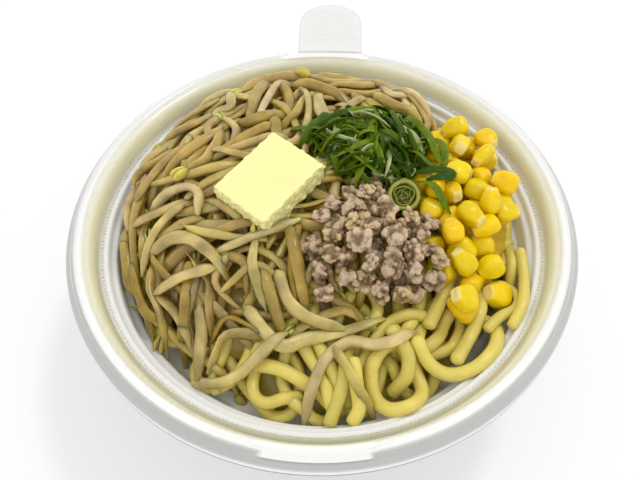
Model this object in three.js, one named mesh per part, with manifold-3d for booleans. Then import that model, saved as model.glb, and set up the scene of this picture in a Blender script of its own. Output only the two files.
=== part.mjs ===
// A ready-to-heat bowl of ramen: a round foam bowl, a clear drop-in tray with a pull tab, and on the
// tray a heap of noodles under bean sprouts, sweetcorn, minced pork, spring onion and a pat of butter.
// Millimetres, +Z up, origin at the middle of the bowl's underside. The tray's pull tab points along +Y.
import * as THREE from "three";
import { mergeVertices } from "three/addons/utils/BufferGeometryUtils.js";
import Module from "manifold-3d";

const wasm = await Module();
wasm.setup();

// ---- driving dimensions ----
const TURN_STEPS = 52; // facets round the bowl and the tray
const GAP = 0.35; // clearance between pieces that rest on each other

const RIM_RADIUS = 89; // outermost edge of the bowl
const BOWL_WALL = 1.8;
const BASE_RADIUS = 54;
const NECK_RADIUS = 80.6; // middle of the wall just under the rim
const RIM_TOP = 69.5; // crest of the bowl's rim
const LIP_BOTTOM = 64; // lower edge of the rim's turned-down lip

const TRAY_WALL = 0.6;
const TRAY_FLOOR = 45; // upper face of the tray's floor
const FLOOR_RADIUS = 66;
const LEDGE_RADIUS = 77;
const LEDGE_HEIGHT = 63;
const FLANGE_EDGE = 87; // where the tray's flange ends on the rim
const RIB_HEIGHT = 1.5; // hollow stiffening rib pressed into the flange
const RIB_MIDDLE = 84.4;
const RIB_HALF_WIDTH = 2.4;
const LANDING_HALF_WIDTH = 16.4; // flat stretch without the rib, at the front and the back

const TAB_HALF_WIDTH = 13.4;
const TAB_TIP = 117; // distance of the tab's tip from the bowl's axis
const TAB_SHIFT = 2; // the tab sits a little to the right of the landing's middle
const TAB_THICKNESS = 0.8;

const BUTTER = { long: 30, short: 23.5, thick: 8.4, turn: 50, tilt: 6, middle: [-17.5, 4.5, 82] };
const ONION_RING = { outer: 6.2, inner: 2.6, height: 5, middle: [28, 0.5, 80], lean: 24 };

// ---- helpers ----
const degrees = THREE.MathUtils.degToRad;
const smooth = THREE.MathUtils.smoothstep;

// A mesh's triangles as a manifold-3d solid.
function toSolid(geometry) {
  const bare = geometry.clone();
  bare.deleteAttribute("normal");
  bare.deleteAttribute("uv");
  const merged = mergeVertices(bare, 1e-3);
  const position = merged.attributes.position.array;
  return new wasm.Manifold(
    new wasm.Mesh({ numProp: 3, vertProperties: position, triVerts: new Uint32Array(merged.index.array) }),
  );
}

function toGeometry(solid) {
  const mesh = solid.getMesh();
  const stride = mesh.numProp;
  const position = new Float32Array(mesh.numVert * 3);
  for (let i = 0; i < mesh.numVert; i++) {
    position.set(mesh.vertProperties.subarray(i * stride, i * stride + 3), i * 3);
  }
  const geometry = new THREE.BufferGeometry();
  geometry.setAttribute("position", new THREE.BufferAttribute(position, 3));
  geometry.setIndex(new THREE.BufferAttribute(mesh.triVerts, 1));
  return geometry;
}

// The closed outline of a wall that runs along a line from the axis to its free edge.
function wallOutline(line, thickness) {
  const side = (sign) =>
    line.map((point, i) => {
      const before = line[Math.max(i - 1, 0)];
      const after = line[Math.min(i + 1, line.length - 1)];
      const along = after.clone().sub(before).normalize();
      const moved = new THREE.Vector2(along.y, -along.x).multiplyScalar((sign * thickness) / 2).add(point);
      if (i === 0) moved.x = 0;
      return moved;
    });
  return [...side(1), ...side(-1).reverse()];
}

// A LatheGeometry turned so that its axis is +Z, whose vertices lift(radius, angle) raises.
function revolved(outline, lift = () => 0) {
  const geometry = new THREE.LatheGeometry(outline, TURN_STEPS);
  geometry.rotateX(Math.PI / 2);
  const position = geometry.attributes.position;
  for (let i = 0; i < position.count; i++) {
    const x = position.getX(i);
    const y = position.getY(i);
    position.setZ(i, position.getZ(i) + lift(Math.hypot(x, y), Math.atan2(y, x)));
  }
  return geometry;
}

// ---- the bowl ----
function bowlGeometry() {
  const half = BOWL_WALL / 2;
  const line = new THREE.Path();
  line.moveTo(0, half);
  line.lineTo(BASE_RADIUS - 5, half);
  line.quadraticCurveTo(BASE_RADIUS, half, BASE_RADIUS + 3, 6);
  line.quadraticCurveTo(75, 38, NECK_RADIUS, RIM_TOP - 6);
  line.quadraticCurveTo(82, RIM_TOP - half, 84.5, RIM_TOP - half);
  line.quadraticCurveTo(88, RIM_TOP - half - 0.4, RIM_RADIUS - half, RIM_TOP - 3);
  line.lineTo(RIM_RADIUS - half, LIP_BOTTOM);
  return revolved(wallOutline(line.getPoints(3), BOWL_WALL));
}

// ---- the clear tray ----
// The rib is a low round bead on the flange, missing along the landings at the front and the back.
function ribLift(radius, angle) {
  const across = Math.abs(radius - RIB_MIDDLE) / RIB_HALF_WIDTH;
  const fromLanding = Math.abs(radius * Math.cos(angle)) - LANDING_HALF_WIDTH;
  return RIB_HEIGHT * Math.sqrt(Math.max(0, 1 - across * across)) * smooth(fromLanding, 0, 4);
}

function trayLine() {
  const half = TRAY_WALL / 2;
  const onRim = RIM_TOP + GAP + half;
  const line = new THREE.Path();
  line.moveTo(0, TRAY_FLOOR - half);
  line.lineTo(FLOOR_RADIUS, TRAY_FLOOR - half);
  line.quadraticCurveTo(70.5, TRAY_FLOOR - half, 71.6, TRAY_FLOOR + 4);
  line.lineTo(LEDGE_RADIUS - 1.6, LEDGE_HEIGHT - 1);
  line.lineTo(LEDGE_RADIUS - 1.2, LEDGE_HEIGHT - half);
  line.lineTo(LEDGE_RADIUS + 1, LEDGE_HEIGHT - half);
  line.quadraticCurveTo(79.2, onRim - 0.2, 82, onRim);
  for (const share of [0.25, 0.5, 0.75, 1]) {
    const radius = 82 + share * (FLANGE_EDGE - 82);
    const drop = 1.1 * Math.max(0, share - 0.4);
    line.lineTo(radius, onRim - drop);
  }
  return line.getPoints(2);
}

function tabGeometry() {
  const outline = new THREE.Shape();
  const straight = TAB_TIP - TAB_HALF_WIDTH;
  outline.moveTo(-TAB_HALF_WIDTH, 83);
  outline.lineTo(TAB_HALF_WIDTH, 83);
  outline.lineTo(TAB_HALF_WIDTH, straight);
  outline.absarc(0, straight, TAB_HALF_WIDTH, 0, Math.PI, false);
  outline.closePath();
  const geometry = new THREE.ExtrudeGeometry(outline, {
    depth: TAB_THICKNESS,
    bevelEnabled: false,
    curveSegments: 12,
  });
  return geometry.translate(TAB_SHIFT, 0, RIM_TOP + GAP + 0.05);
}

function trayGeometry() {
  const dish = toSolid(revolved(wallOutline(trayLine(), TRAY_WALL), ribLift));
  return toGeometry(dish.add(toSolid(tabGeometry())));
}

// ---- heaps of food ----
// A heap is a round or oval mound. Its edge wavers, and its top has lumps as wide as its pieces.
function wavering(angle, seed) {
  return Math.sin(3 * angle + seed) + 0.6 * Math.sin(5 * angle + 2.3 * seed) + 0.4 * Math.sin(9 * angle + 4.1 * seed);
}

function lumps(x, y, width, seed) {
  const k = (2 * Math.PI) / width;
  const first = Math.sin(k * x + seed) * Math.sin(k * y + 1.7 * seed);
  const second = Math.sin(k * 0.62 * (x + y) + 2.1 * seed) * Math.sin(k * 0.62 * (x - y) + 0.6 * seed);
  return 0.6 * first + 0.4 * second;
}

// A value at any angle from its values at each eighth of a turn, from +X towards +Y.
function around(values, angle) {
  const turns = (angle / (2 * Math.PI)) * values.length;
  const first = Math.floor(turns) % values.length;
  const next = (first + 1) % values.length;
  return values[first] + smooth(turns - Math.floor(turns), 0, 1) * (values[next] - values[first]);
}

class Heap {
  // reach: how far the edge lies from the middle, and edge: how high its rim lies, each eighth of a turn.
  constructor(shape) {
    Object.assign(this, shape);
  }

  at(share, angle, grow = 0) {
    const reach = around(this.reach, angle) + this.waver * wavering(angle, this.seed);
    const distance = share * (reach + grow);
    return [this.middle[0] + distance * Math.cos(angle), this.middle[1] + distance * Math.sin(angle)];
  }

  topAt(share, angle, x, y) {
    const edge = around(this.edge, angle);
    const dome = edge + (this.crown - edge) * (1 - share ** 2.4);
    return dome + this.lump * lumps(x, y, this.lumpWidth, this.seed) * (1 - 0.6 * share ** 4);
  }

  // The closed mound from a flat foot up to its top. raise and grow make the clearance round a neighbour.
  solid(foot, { raise = 0, grow = 0, footShare = 1 } = {}) {
    const positions = [];
    const faces = [];
    const row = (ring) => 1 + (ring - 1) * this.steps;
    const [cx, cy] = this.at(0, 0);
    positions.push([cx, cy, this.topAt(0, 0, cx, cy) + raise]);
    for (let ring = 1; ring <= this.rings + 1; ring++) {
      const isFoot = ring > this.rings;
      const share = Math.min(ring / this.rings, 1);
      for (let step = 0; step < this.steps; step++) {
        const angle = (2 * Math.PI * step) / this.steps;
        const [x, y] = this.at(isFoot ? footShare : share, angle, grow);
        positions.push([x, y, isFoot ? foot : this.topAt(share, angle, x, y) + raise]);
      }
    }
    const footMiddle = positions.push([cx, cy, foot]) - 1;
    for (let step = 0; step < this.steps; step++) {
      const next = (step + 1) % this.steps;
      faces.push([0, row(1) + step, row(1) + next]);
      for (let ring = 1; ring <= this.rings; ring++) {
        const [a, b] = [row(ring) + step, row(ring) + next];
        const [c, d] = [row(ring + 1) + step, row(ring + 1) + next];
        faces.push([a, c, d], [a, d, b]);
      }
      faces.push([footMiddle, row(this.rings + 1) + next, row(this.rings + 1) + step]);
    }
    const geometry = new THREE.BufferGeometry();
    geometry.setAttribute("position", new THREE.BufferAttribute(new Float32Array(positions.flat()), 3));
    geometry.setIndex(faces.flat());
    return toSolid(geometry);
  }
}

const noodles = new Heap({
  middle: [0, 0], reach: [73, 73, 72.5, 72, 71, 70, 70, 71.5], edge: [59, 61, 62, 58, 55, 53.5, 53.5, 55.5],
  crown: 71, waver: 0.4, lump: 1.4, lumpWidth: 17, seed: 1.3, rings: 7, steps: 44,
});
const sprouts = new Heap({
  middle: [-16, 4], reach: [28, 80, 70, 63, 56, 58, 62, 58], edge: [72, 69, 69.5, 68, 65, 62, 59, 62],
  crown: 80, waver: 0.9, lump: 1.8, lumpWidth: 19, seed: 2.2, rings: 6, steps: 40,
});
const corn = new Heap({
  middle: [48, 4], reach: [24, 30, 43, 28, 22, 17, 39, 28], edge: [67, 69, 70, 70, 70, 68, 66, 65],
  crown: 78.5, waver: 0.7, lump: 1.3, lumpWidth: 11, seed: 0.7, rings: 5, steps: 30,
});
const pork = new Heap({
  middle: [15, -13], reach: [26, 18, 21, 22, 24, 25, 22, 28], edge: [74, 76, 77, 76, 74, 72, 71, 72],
  crown: 85, waver: 0.7, lump: 1.8, lumpWidth: 13, seed: 3.4, rings: 6, steps: 28,
});
const onion = new Heap({
  middle: [16, 26], reach: [26, 20, 18, 23, 26, 19, 20, 24], edge: [77, 76, 75, 76, 79, 80, 80, 79],
  crown: 88, waver: 0.8, lump: 1.4, lumpWidth: 14, seed: 4.6, rings: 5, steps: 28,
});

// ---- the pat of butter and the ring of spring onion ----
function butterGeometry(grow = 0) {
  const width = BUTTER.long + 2 * grow;
  const depth = BUTTER.short + 2 * grow;
  const bevel = 0.7;
  const outline = new THREE.Shape();
  outline.moveTo(-width / 2 + bevel, -depth / 2 + bevel);
  outline.lineTo(width / 2 - bevel, -depth / 2 + bevel);
  outline.lineTo(width / 2 - bevel, depth / 2 - bevel);
  outline.lineTo(-width / 2 + bevel, depth / 2 - bevel);
  outline.closePath();
  const height = BUTTER.thick + 2 * grow;
  const geometry = new THREE.ExtrudeGeometry(outline, {
    depth: height - 2 * bevel,
    bevelThickness: bevel,
    bevelSize: bevel,
    bevelSegments: 2,
  });
  geometry.translate(0, 0, bevel - height / 2);
  geometry.rotateY(-degrees(BUTTER.tilt));
  geometry.rotateZ(degrees(BUTTER.turn));
  return geometry.translate(...BUTTER.middle);
}

function ringGeometry(grow = 0) {
  const { outer, inner, height } = ONION_RING;
  const half = height / 2 + grow;
  const rounding = 0.5;
  const outline = grow
    ? [new THREE.Vector2(0, -half), new THREE.Vector2(outer + grow, -half), new THREE.Vector2(outer + grow, half),
       new THREE.Vector2(0, half)]
    : [new THREE.Vector2(inner, -half), new THREE.Vector2(outer - rounding, -half),
       new THREE.Vector2(outer, rounding - half), new THREE.Vector2(outer, half - rounding),
       new THREE.Vector2(outer - rounding, half), new THREE.Vector2(inner, half), new THREE.Vector2(inner, -half)];
  const geometry = new THREE.LatheGeometry(outline, 20);
  geometry.rotateX(Math.PI / 2);
  geometry.rotateX(degrees(ONION_RING.lean));
  return geometry.translate(...ONION_RING.middle);
}

// ---- each heap rests on what lies below it, with a clearance ----
const raised = (heap, foot = 30) => heap.solid(foot, { raise: GAP, grow: GAP });
const butterRoom = toSolid(butterGeometry(GAP));
const ringRoom = toSolid(ringGeometry(GAP));
const without = (solid, ...others) => others.reduce((rest, other) => rest.subtract(other), solid);

// The space inside the tray's wall, up past the tops of the heaps.
function trayRoom() {
  const outline = [
    [0, TRAY_FLOOR + GAP], [FLOOR_RADIUS - 1, TRAY_FLOOR + GAP], [69.6, TRAY_FLOOR + 2],
    [70.7, TRAY_FLOOR + 4.5], [LEDGE_RADIUS - 2.5, LEDGE_HEIGHT - 1], [LEDGE_RADIUS - 2.5, 100], [0, 100],
  ];
  return toSolid(revolved(outline.map(([radius, height]) => new THREE.Vector2(radius, height))));
}

const room = trayRoom();
const noodleSolid = noodles.solid(TRAY_FLOOR + GAP, { footShare: 0.9 }).intersect(room);
const sproutSolid = without(sprouts.solid(50).intersect(room), raised(noodles), butterRoom);
const cornSolid = without(corn.solid(56).intersect(room), raised(noodles), raised(sprouts), ringRoom);
const porkSolid = without(pork.solid(60), raised(noodles), raised(sprouts), raised(corn), butterRoom, ringRoom);
const onionSolid = without(
  onion.solid(60), raised(noodles), raised(sprouts), raised(corn), raised(pork), butterRoom, ringRoom,
);

// ---- the object ----
const looks = {
  bowl: { color: 0xf4f3ec, roughness: 0.45 },
  tray: { color: 0xf2f4f4, roughness: 0.1, transparent: true, opacity: 0.35 },
  noodles: { color: 0xd9cf74, roughness: 0.4 },
  bean_sprouts: { color: 0xbfa878, roughness: 0.35 },
  corn: { color: 0xf2c80f, roughness: 0.3 },
  minced_pork: { color: 0xa58d78, roughness: 0.6 },
  spring_onion: { color: 0x2f6a17, roughness: 0.4 },
  onion_ring: { color: 0x8fa94f, roughness: 0.35 },
  butter: { color: 0xfbf6ae, roughness: 0.4 },
};

const ramen = new THREE.Group();
function add(name, geometry) {
  const mesh = new THREE.Mesh(geometry, new THREE.MeshStandardMaterial(looks[name]));
  mesh.name = name;
  ramen.add(mesh);
}

add("bowl", bowlGeometry());
add("tray", trayGeometry());
add("noodles", toGeometry(noodleSolid));
add("bean_sprouts", toGeometry(sproutSolid));
add("corn", toGeometry(cornSolid));
add("minced_pork", toGeometry(porkSolid));
add("spring_onion", toGeometry(onionSolid));
add("onion_ring", ringGeometry());
add("butter", butterGeometry());

export default ramen;
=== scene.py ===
"""A ready-to-heat bowl of ramen: a white foam bowl, a clear drop-in tray and, on the tray, noodles under
bean sprouts, sweetcorn, minced pork, spring onion and a pat of butter.

Lengths are in millimetres in the CAD model's frame, and MM turns them into metres. Each heap is laid piece
by piece on a height map, up to the top of its CAD solid."""
import math

import bmesh
import bpy
import numpy as np
from mathutils import Matrix, Vector, noise
from mathutils.bvhtree import BVHTree


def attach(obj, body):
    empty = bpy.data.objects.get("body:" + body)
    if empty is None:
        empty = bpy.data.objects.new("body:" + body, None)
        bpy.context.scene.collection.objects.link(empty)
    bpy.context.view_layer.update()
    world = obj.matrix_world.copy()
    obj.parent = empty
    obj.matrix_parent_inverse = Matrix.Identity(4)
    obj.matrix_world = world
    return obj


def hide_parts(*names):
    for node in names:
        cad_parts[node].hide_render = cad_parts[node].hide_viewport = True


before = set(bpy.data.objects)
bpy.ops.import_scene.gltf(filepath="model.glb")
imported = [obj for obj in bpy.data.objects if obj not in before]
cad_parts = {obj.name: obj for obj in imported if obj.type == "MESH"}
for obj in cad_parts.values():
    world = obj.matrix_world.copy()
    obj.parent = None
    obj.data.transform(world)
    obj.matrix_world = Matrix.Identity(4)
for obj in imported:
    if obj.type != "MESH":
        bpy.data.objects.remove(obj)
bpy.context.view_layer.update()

MM = 0.001
TAU = 2 * math.pi

# ---- the bowl and the tray, as in the CAD model ----
RIM_RADIUS = 89
RIM_TOP = 69.5
LIP_BOTTOM = 64
BOWL_WALL = 1.8
BASE_RADIUS = 54
NECK_RADIUS = 80.6
TRAY_FLOOR = 45
TRAY_WALL = 0.45
FLOOR_RADIUS = 66
LEDGE_RADIUS = 77
LEDGE_HEIGHT = 63
FLANGE_EDGE = 87
FLANGE_HEIGHT = 70.2
RIB_MIDDLE = 84.4
RIB_HALF_WIDTH = 2.4
RIB_HEIGHT = 1.5
LANDING_HALF_WIDTH = 16.4
TAB_HALF_WIDTH = 13.4
TAB_TIP = 117
TAB_SHIFT = 2

# ---- the food: sizes, places, the steps of a strand's plan, and how many are made or tried ----
NOODLE_RADIUS = 2.3
NOODLE_STEP = 1.25
NOODLE_TRIES = 420
NOODLE_REACH = 72
SPROUT_RADIUS = 1.95
SPROUT_FLATNESS = 0.75
SPROUT_STEP = 1.9
SPROUT_TRIES = 620
SPROUT_REACH = 73.5
SPROUT_MIDDLE = (-15, 5)
KERNELS = 260
CORN_MIDDLE = (48, 4)
CRUMBLES = 130
FINE_CRUMBLES = 24
HEAP_REACH = 74.5
SHREDS = 260
SHRED_STEP = 0.9
BUTTER_SIZE = (30, 23.5, 8.4)
BUTTER_TURN = 50
BUTTER_TILT = 6
BUTTER_MIDDLE = (-17.5, 4.5, 82)
RING_MIDDLE = (28, 0.5, 80)
RING_LEAN = 24

# ---- strands that lie on top, in plan ----
TOP_NOODLES = [
    [(30, -45), (22, -47), (17, -54), (18, -62), (23, -67), (29, -66), (33, -60), (31, -53), (27, -47),
     (24, -42)],
    [(23, -44), (28, -50), (28, -56), (24, -59)],
    [(31, -47), (35, -52), (42, -55), (49, -54), (55, -49), (58, -43), (58, -37), (53, -34)],
    [(53, -20), (54, -30), (51, -39), (47, -46), (44, -51)],
    [(10, -42), (9, -50), (8, -59), (5, -67), (4, -70)],
    [(11, -54), (12, -60), (13, -66), (11, -70)],
    [(45, -20), (42, -27), (39, -33), (36, -39)],
]
EDGE_NOODLES = [
    [(65, 28), (68, 19), (69, 10), (68, 0), (67, -10), (66, -20)],
    [(60, -20), (65, -23), (67, -28), (65, -32), (60, -35), (55, -40)],
    [(70, -9), (70, -17), (69, -24), (67, -32), (63, -39)],
]
TOP_SPROUTS = [
    [(-4, -69), (-2, -61), (3, -52), (10, -47), (18, -49), (25, -48), (32, -42)],
    [(5, -50), (9, -57), (13, -63), (18, -67)],
    [(-25, -35), (-18, -44), (-11, -49), (-4, -46), (8, -43), (21, -38)],
    [(-58, -17), (-51, -13), (-43, -15), (-36, -21), (-30, -28)],
    [(-55, -30), (-46, -28), (-34, -26)],
    [(-61, 4), (-52, 8), (-43, 4), (-42, -5)],
    [(-41, -57), (-29, -58), (-17, -51), (-10, -44)],
    [(-39, -36), (-38, -45), (-39, -57)],
    [(-48, 0), (-56, -8), (-61, -22)],
    [(-14, -26), (-10, -36), (-3, -41), (8, -43)],
]
TOP_SHREDS = [
    [(-13, 35), (-9, 32), (-4, 30), (2, 30)],
    [(3, 43), (-2, 34), (-6, 26), (-9, 20)],
    [(28, 38), (35, 31), (41, 19), (43, 17), (43, 23), (38, 29)],
    [(31, 11), (38, 11), (45, 10), (43, 7), (36, 7)],
    [(29, 9), (37, 4), (44, -4)],
    [(30, 20), (37, 15), (44, 11)],
]
LOOSE_KERNEL = (46, -35)

# ---- the share of its tint that a surface shows under the studio light ----
TONE = 0.9

# ---- the view ----
CAMERA_PLACE = (4.4, -148.4, 266.3)
CAMERA_AIM = (-0.3, -8.8, 67)
CAMERA_ROLL = -0.9
LENS = 39.4


# ---- meshes ----
def linked(name, data):
    """A new object in the scene."""
    thing = bpy.data.objects.new(name, data)
    bpy.context.scene.collection.objects.link(thing)
    return thing


class Shape:
    """Points, faces and a tint for each point, gathered from many small pieces."""

    def __init__(self):
        self.points, self.faces, self.tints, self.count = [], [], [], 0

    def add(self, points, faces, tint, haze=1.0):
        points = np.asarray(points, float)
        colours = np.ones((len(points), 4))
        colours[:, :3] = tint
        colours[:, 3] = haze
        self.points.append(points)
        self.tints.append(colours)
        self.faces += [tuple(i + self.count for i in face) for face in faces]
        self.count += len(points)

    def object(self, name, material, *nodes):
        """Makes the mesh a piece in place of those CAD nodes."""
        points = np.concatenate(self.points) * MM
        mesh = bpy.data.meshes.new(name)
        mesh.from_pydata(points.tolist(), [], self.faces)
        tint = mesh.color_attributes.new("tint", "FLOAT_COLOR", "POINT")
        tint.data.foreach_set("color", np.concatenate(self.tints).astype(np.float32).ravel())
        mesh.polygons.foreach_set("use_smooth", [True] * len(mesh.polygons))
        mesh.materials.append(material)
        mesh.update()
        piece = linked(name, mesh)
        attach(piece, "root")
        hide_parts(*nodes)


def ring_faces(rings, sides, closed=False):
    """Quads between successive rings of points, and end caps unless the rings close on themselves."""
    faces = []
    for ring in range(rings if closed else rings - 1):
        a, b = ring * sides, (ring + 1) % rings * sides
        for side in range(sides):
            following = (side + 1) % sides
            faces.append((a + side, a + following, b + following, b + side))
    if not closed:
        faces.append(tuple(reversed(range(sides))))
        faces.append(tuple((rings - 1) * sides + side for side in range(sides)))
    return faces


def tube(line, radii, sides, flatness=1.0, twist=0.0, closed=False, outline=1.0):
    """A tube along a line that lies more or less level. flatness is its height over its width, and outline
    the share of the radius that each side has."""
    if closed:
        along = np.roll(line, -1, 0) - np.roll(line, 1, 0)
    else:
        along = np.gradient(line, axis=0)
    along /= np.linalg.norm(along, axis=1)[:, None]
    across = np.cross(along, (0, 0, 1))
    across /= np.maximum(np.linalg.norm(across, axis=1), 1e-6)[:, None]
    above = np.cross(across, along)
    turn = np.broadcast_to(twist, len(line))[:, None]
    across, above = (
        across * np.cos(turn) + above * np.sin(turn),
        above * np.cos(turn) - across * np.sin(turn),
    )
    angles = np.arange(sides) * TAU / sides
    wide = np.asarray(radii)[:, None, None] * (outline * np.cos(angles))[None, :, None] * across[:, None]
    high = np.asarray(radii)[:, None, None] * (outline * np.sin(angles))[None, :, None] * above[:, None]
    points = line[:, None] + wide + flatness * high
    return points.reshape(-1, 3), ring_faces(len(line), sides, closed)


def blunt_ends(line, radii, bulge=0.6):
    """The line and radii with three short steps more at each end, which round it off."""
    angles = np.radians([28, 55, 78])
    first = (line[0] - line[1]) / np.linalg.norm(line[0] - line[1])
    last = (line[-1] - line[-2]) / np.linalg.norm(line[-1] - line[-2])
    start = [line[0] + first * radii[0] * bulge * math.sin(a) for a in angles[::-1]]
    end = [line[-1] + last * radii[-1] * bulge * math.sin(a) for a in angles]
    line = np.concatenate([start, line, end])
    radii = np.concatenate([radii[0] * np.cos(angles[::-1]), radii, radii[-1] * np.cos(angles)])
    return line, radii


def taken(work):
    """The points and faces of a mesh at work, which is then done with."""
    points = np.array([v.co for v in work.verts])
    faces = [tuple(v.index for v in face.verts) for face in work.faces]
    work.free()
    return points, faces


def stretched(values, count):
    """The values spread evenly over another count of points."""
    return np.interp(np.linspace(0, 1, count), np.linspace(0, 1, len(values)), values)


def ball(fineness):
    """The points and faces of a unit sphere made of triangles."""
    work = bmesh.new()
    bmesh.ops.create_icosphere(work, subdivisions=fineness, radius=1)
    return taken(work)


BALL_COARSE, BALL_FINE, BALL_FINEST = ball(3), ball(4), ball(5)


def ripples(points, width, seed, count=7):
    """Smooth noise from -1 to 1 whose bumps are about that wide. seed is a number or a source of one."""
    if isinstance(seed, np.random.Generator):
        seed = int(seed.integers(1e6))
    rng = np.random.default_rng(seed)
    ways = rng.normal(size=(count, 3))
    ways *= TAU / width / np.linalg.norm(ways, axis=1)[:, None] * rng.uniform(0.6, 1.3, (count, 1))
    waves = np.sin(np.asarray(points) @ ways.T + rng.uniform(0, TAU, count))
    return waves.sum(1) / math.sqrt(count) / 1.2


def turned(points, angle, axis):
    return points @ np.array(Matrix.Rotation(angle, 3, axis)).T


def smoothstep(value, low, high):
    share = np.clip((value - low) / (high - low), 0, 1)
    return share * share * (3 - 2 * share)


def spline(points, step):
    """A smooth curve through the points in plan, as even steps."""
    points = np.array(points, float)
    ends = np.concatenate([2 * points[:1] - points[1:2], points, 2 * points[-1:] - points[-2:-1]])
    share = np.linspace(0, 1, 12, endpoint=False)[:, None]
    pieces = []
    for a, b, c, d in zip(ends, ends[1:], ends[2:], ends[3:]):
        bend = 2 * a - 5 * b + 4 * c - d + share * (3 * (b - c) + d - a)
        pieces.append(b + share / 2 * (c - a + share * bend))
    line = np.concatenate([*pieces, points[-1:]])
    gone = np.concatenate([[0], np.cumsum(np.linalg.norm(np.diff(line, axis=0), axis=1))])
    even = np.linspace(0, gone[-1], int(gone[-1] / step) + 2)
    return np.column_stack([np.interp(even, gone, line[:, k]) for k in range(2)])


# ---- the pile ----
CELL = 0.5
HALF = 84
CELLS = int(2 * HALF / CELL) + 1
CELL_X, CELL_Y = np.indices((CELLS, CELLS)) * CELL - HALF
ACROSS = np.hypot(CELL_X, CELL_Y)
FOOTPRINT = 4
FOOTPRINT_CELLS = int(FOOTPRINT / CELL)
NOTHING = -1000.0


def tops(node):
    """The height of a CAD node's top over each cell, and a great depth where there is none."""
    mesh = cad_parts[node].data
    tree = BVHTree.FromPolygons([v.co for v in mesh.vertices], [p.vertices[:] for p in mesh.polygons])
    coarse = np.full((CELLS // 2 + 1, CELLS // 2 + 1), NOTHING)
    down = Vector((0, 0, -1))
    for i in range(len(coarse)):
        for j in range(len(coarse)):
            start = Vector(((2 * i * CELL - HALF) * MM, (2 * j * CELL - HALF) * MM, 0.2))
            hit = tree.ray_cast(start, down)[0]
            if hit:
                coarse[i, j] = hit.z / MM
    return np.repeat(np.repeat(coarse, 2, 0), 2, 1)[:CELLS, :CELLS]


def eased(z, times):
    """Heights along a line, each drawn towards its neighbours that many times."""
    for _ in range(times):
        z[1:-1] = z[:-2] / 4 + z[1:-1] / 2 + z[2:] / 4
    return z


def cells(places, margin=0):
    """The cells at each place, kept at least the margin from the map's edge."""
    spots = np.rint((np.asarray(places)[..., :2] + HALF) / CELL).astype(int)
    spots = np.clip(spots, margin, CELLS - 1 - margin)
    return spots[..., 0], spots[..., 1]


class Pile:
    """What has been laid so far, as the height of its top over each cell."""

    def __init__(self, height):
        """height is of the bare tray. The offsets of the cells in a footprint are worked out once."""
        self.height = height
        steps = np.arange(-FOOTPRINT_CELLS, FOOTPRINT_CELLS + 1)
        dx, dy = (a.ravel() for a in np.meshgrid(steps, steps, indexing="ij"))
        far = (dx * dx + dy * dy) * CELL * CELL
        near = far < FOOTPRINT**2
        self.dx, self.dy, self.far = dx[near], dy[near], far[near]

    def footprints(self, plan, radii):
        """The cells under balls of each radius, and how far their surface is above or below their middle."""
        i, j = cells(plan, FOOTPRINT_CELLS + 1)
        room = np.square(radii)[:, None] - self.far
        under = (i[:, None] + self.dx, j[:, None] + self.dy)
        return under, np.where(room > 0, np.sqrt(np.maximum(room, 0)), NOTHING)

    def cover(self, plan, z, radii):
        """Adds balls of each radius, with their middles at height z."""
        under, bulge = self.footprints(plan, radii)
        np.maximum.at(self.height, under, z[:, None] + bulge)

    def drape(self, plan, radii, slack=14, soft=4, sink=0.35):
        """The heights of a limp strand's middle line. It bridges short gaps and sinks in a little."""
        under, bulge = self.footprints(plan, radii)
        rest = (self.height[under] + bulge).max(1) - sink
        z = rest.copy()
        for _ in range(slack):
            z[1:-1] = np.maximum(rest[1:-1], (z[:-2] + z[2:]) / 2)
        return eased(z, soft)

    def drop(self, points, sink=0.5):
        """How far up a small solid, given by its points round its own middle, rests at its place."""
        return (self.height[cells(points, FOOTPRINT_CELLS + 1)] - points[:, 2]).max() - sink

    def cover_points(self, points):
        """Adds a small solid by its points."""
        i, j = cells(points, FOOTPRINT_CELLS + 1)
        for di in (-1, 0, 1):
            for dj in (-1, 0, 1):
                np.maximum.at(self.height, (i + di, j + dj), points[:, 2])


def roomy_places(rng, target, pile, count, spare):
    """Random places where the pile is still furthest below the target."""
    room = target - pile.height
    i, j = np.nonzero(room > spare)
    if len(i) == 0:
        return []
    weight = room[i, j] ** 3
    picks = rng.choice(len(i), size=count, p=weight / weight.sum())
    return [(i[k] * CELL - HALF, j[k] * CELL - HALF) for k in picks]


def wander(rng, start, heading, length, step, bend, tightest, reach=None):
    """The plan of a strand: it bends smoothly at random, and hooks back near the reach from the axis."""
    x, y = start
    line = [(x, y)]
    curve = rng.normal() * bend
    hook = 0
    settling = 22
    for _ in range(int(length / step)):
        curve += -curve * step / settling + rng.normal() * bend * math.sqrt(2 * step / settling)
        turn = max(-tightest, min(tightest, curve))
        if reach:
            out = math.hypot(x, y)
            away = math.cos(heading - math.atan2(y, x))
            if out > reach - 10 and away > -0.35:
                if hook == 0:
                    lean = math.sin(heading - math.atan2(y, x))
                    hook = 1 if lean + rng.normal() * 0.25 > 0 else -1
                turn = hook * tightest
                curve = turn * 0.5
            elif away < 0:
                hook = 0
        heading += turn * step
        x, y = x + step * math.cos(heading), y + step * math.sin(heading)
        if reach and math.hypot(x, y) > reach:
            x, y = (c * reach / math.hypot(x, y) for c in (x, y))
        line.append((x, y))
    return np.array(line)


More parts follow.
